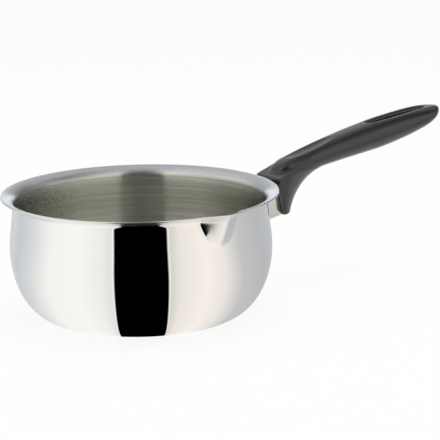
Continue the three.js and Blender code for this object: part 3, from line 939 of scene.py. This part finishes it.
soften_node("handle_bracket", "bracket_channel", BRACKET_EDGE, BRACKET_STEEL_PAINTED_REFLECTION)
soften_node("weld_nut", "nut", NUT_EDGE, FASTENER_STEEL)
soften_node("handle_screw", "screw", SCREW_EDGE, FASTENER_STEEL)
soften_node("spring_washer", "lock_washer", WASHER_EDGE, FASTENER_STEEL)
soften_node("flat_washer", "plain_washer", WASHER_EDGE, FASTENER_STEEL)


# Stage: a pale floor under a light tent, whose walls and dark slit show only in the metal.

def tent_ramp(nodes, links, direction, stops, slit_end=0):
    """A colour for a direction or a place on the tent's floor, by its bearing from the camera's side.

    On the floor the bearings are bent to hyperbolas, which give the dark slit a rounded end.
    """
    parts = turned_parts(nodes, links, direction, -CAMERA_AZIMUTH)
    across = parts["Y"]
    square = calculate(nodes, links, "MULTIPLY", across, across)
    rest = calculate(nodes, links, "SUBTRACT", square, slit_end * slit_end)
    bent = calculate(nodes, links, "SQRT", calculate(nodes, links, "MAXIMUM", rest, 0.0))
    sided = calculate(nodes, links, "MULTIPLY", bent, calculate(nodes, links, "SIGN", across))
    bearing = calculate(nodes, links, "ARCTAN2", sided, parts["X"])
    walls = nodes.new("ShaderNodeValToRGB")
    set_stops(walls, [((degrees + 180) / 360, colour) for degrees, colour in stops])
    links.new(step_up(nodes, links, bearing, (-math.pi, math.pi)), walls.inputs["Fac"])
    return walls.outputs["Color"]


def new_sheet(name, z):
    half = FLOOR_SIZE / 2
    corners = [(-half, -half, z), (half, -half, z), (half, half, z), (-half, half, z)]
    return new_object(name, corners, [(0, 1, 2, 3)])


def make_floor():
    floor = new_sheet("floor", 0)
    material, nodes, links, shader = new_material("pale_floor")
    shader.inputs["Base Color"].default_value = (FLOOR_SHADE, FLOOR_SHADE, FLOOR_SHADE, 1)
    shader.inputs["Roughness"].default_value = FLOOR_ROUGHNESS
    glow = nodes.new("ShaderNodeEmission")
    path = nodes.new("ShaderNodeLightPath")
    mixed = nodes.new("ShaderNodeMixShader")
    share = calculate(nodes, links, "MULTIPLY", path.outputs["Is Camera Ray"], FLOOR_GLOW)
    links.new(share, mixed.inputs["Fac"])
    links.new(shader.outputs[0], mixed.inputs[1])
    links.new(glow.outputs[0], mixed.inputs[2])
    links.new(mixed.outputs[0], nodes["Material Output"].inputs["Surface"])
    floor.data.materials.append(material)
    floor.visible_glossy = False


def make_tent_floor():
    """The tent's floor as the metal sees it."""
    sheet = new_sheet("tent_floor", -TENT_FLOOR_DROP)
    material, nodes, links, shader = new_material("tent_cloth")
    moved = nodes.new("ShaderNodeVectorMath")
    moved.operation = "SUBTRACT"
    links.new(object_place(nodes), moved.inputs[0])
    centre = Vector((*TENT_CENTRE, 0)) * MM
    moved.inputs[1].default_value = Matrix.Rotation(CAMERA_AZIMUTH, 3, "Z") @ centre
    glow = nodes.new("ShaderNodeEmission")
    cloth = tent_ramp(nodes, links, moved.outputs["Vector"], TENT_WALLS, SLIT_END * MM)
    links.new(cloth, glow.inputs["Color"])
    links.new(glow.outputs[0], nodes["Material Output"].inputs["Surface"])
    nodes.remove(shader)
    sheet.data.materials.append(material)
    sheet.visible_camera = False
    sheet.visible_diffuse = False
    sheet.visible_shadow = False
    sheet.visible_transmission = False


def new_lamp(name, shape, place, aim, size, power):
    """A glowing sheet at one place that faces another place."""
    data = bpy.data.lights.new(name, "AREA")
    data.shape = shape
    data.size = size * MM
    data.energy = power
    lamp = bpy.data.objects.new(name, data)
    lamp.location = Vector(place) * MM
    lamp.rotation_euler = (Vector(aim) - Vector(place)).to_track_quat("-Z", "Y").to_euler()
    bpy.context.scene.collection.objects.link(lamp)
    return lamp


def make_overhead_lamp():
    lamp = new_lamp("overhead_lamp", "DISK", LAMP_AT, (0, 0, 0), LAMP_SIZE, LAMP_POWER)
    lamp.visible_glossy = False


def make_handle_card(name, grip, place, aim, size, power):
    """A glowing square card, which lights only the handle."""
    card = new_lamp(name, "SQUARE", place, aim, size, power)
    card.visible_camera = False
    lit = bpy.data.collections.new("lit_by_" + name)
    lit.objects.link(grip)
    card.light_linking.receiver_collection = lit


def window_share(nodes, links, direction, rise):
    """1 where a direction goes through the bright opening at the back, and 0 elsewhere."""
    back = nodes.new("ShaderNodeVectorMath")
    back.operation = "DOT_PRODUCT"
    links.new(direction, back.inputs[0])
    back.inputs[1].default_value = (-math.cos(CAMERA_AZIMUTH), -math.sin(CAMERA_AZIMUTH), 0)
    sides = step_up(nodes, links, back.outputs["Value"], WINDOW_SIDES)
    above_walls = step_up(nodes, links, rise, WALLS_TO_LOWER)
    below_top = step_up(nodes, links, rise, tuple(reversed(WINDOW_TOP)))
    height = calculate(nodes, links, "MULTIPLY", above_walls, below_top)
    return calculate(nodes, links, "MULTIPLY", sides, height)


def tent_colour(nodes, links, direction):
    """The tent's zones from the walls up to the roof, with the bright opening at the back."""
    rise = height_of(nodes, links, direction)
    tent = tent_ramp(nodes, links, direction, TENT_WALLS)
    for stops, span in ((TENT_LOWER_SIDES, WALLS_TO_LOWER), (TENT_UPPER_SIDES, LOWER_TO_UPPER)):
        zone = new_mix(nodes, links, step_up(nodes, links, rise, span))
        links.new(tent, zone.inputs["A"])
        links.new(tent_ramp(nodes, links, direction, stops), zone.inputs["B"])
        tent = zone.outputs["Result"]
    window = window_share(nodes, links, direction, rise)
    roof = step_up(nodes, links, rise, UPPER_TO_ROOF)
    for colour, share in ((WINDOW_COLOUR, window), (ROOF_COLOUR, roof)):
        patch = new_mix(nodes, links, share)
        links.new(tent, patch.inputs["A"])
        patch.inputs["B"].default_value = (*colour, 1)
        tent = patch.outputs["Result"]
    return tent


def make_world():
    """White for the camera, the tent for shiny surfaces and soft even light for the rest."""
    world = bpy.data.worlds.new("tent")
    bpy.context.scene.world = world
    world.use_nodes = True
    nodes = world.node_tree.nodes
    links = world.node_tree.links
    place = nodes.new("ShaderNodeTexCoord")
    path = nodes.new("ShaderNodeLightPath")
    daylight = new_mix(nodes, links, path.outputs["Is Camera Ray"])
    daylight.inputs["A"].default_value = (DAYLIGHT, DAYLIGHT, DAYLIGHT, 1)
    daylight.inputs["B"].default_value = (1, 1, 1, 1)
    seen = new_mix(nodes, links, path.outputs["Is Glossy Ray"])
    links.new(daylight.outputs["Result"], seen.inputs["A"])
    links.new(tent_colour(nodes, links, place.outputs["Generated"]), seen.inputs["B"])
    links.new(seen.outputs["Result"], nodes["Background"].inputs["Color"])


def make_camera():
    data = bpy.data.cameras.new("camera")
    data.lens = CAMERA_LENS
    data.sensor_width = SENSOR_WIDTH
    data.clip_end = CAMERA_REACH * MM
    camera = bpy.data.objects.new("camera", data)
    place = Vector(CAMERA_AT) * MM
    aim = (Vector(CAMERA_LOOKS_AT) * MM - place).to_track_quat("-Z", "Y").to_matrix().to_4x4()
    roll = Matrix.Rotation(math.radians(CAMERA_ROLL), 4, "Z")
    camera.matrix_world = Matrix.Translation(place) @ aim @ roll
    bpy.context.scene.collection.objects.link(camera)
    bpy.context.scene.camera = camera


make_floor()
make_tent_floor()
make_overhead_lamp()
make_handle_card("floor_card", grip_piece, FLOOR_CARD_AT, FLOOR_CARD_AIM, FLOOR_CARD_SIZE, FLOOR_CARD_POWER)
make_handle_card("back_card", grip_piece, BACK_CARD_AT, BACK_CARD_AIM, BACK_CARD_SIZE, BACK_CARD_POWER)
make_world()
make_camera()
bpy.context.scene.view_settings.view_transform = "Standard"
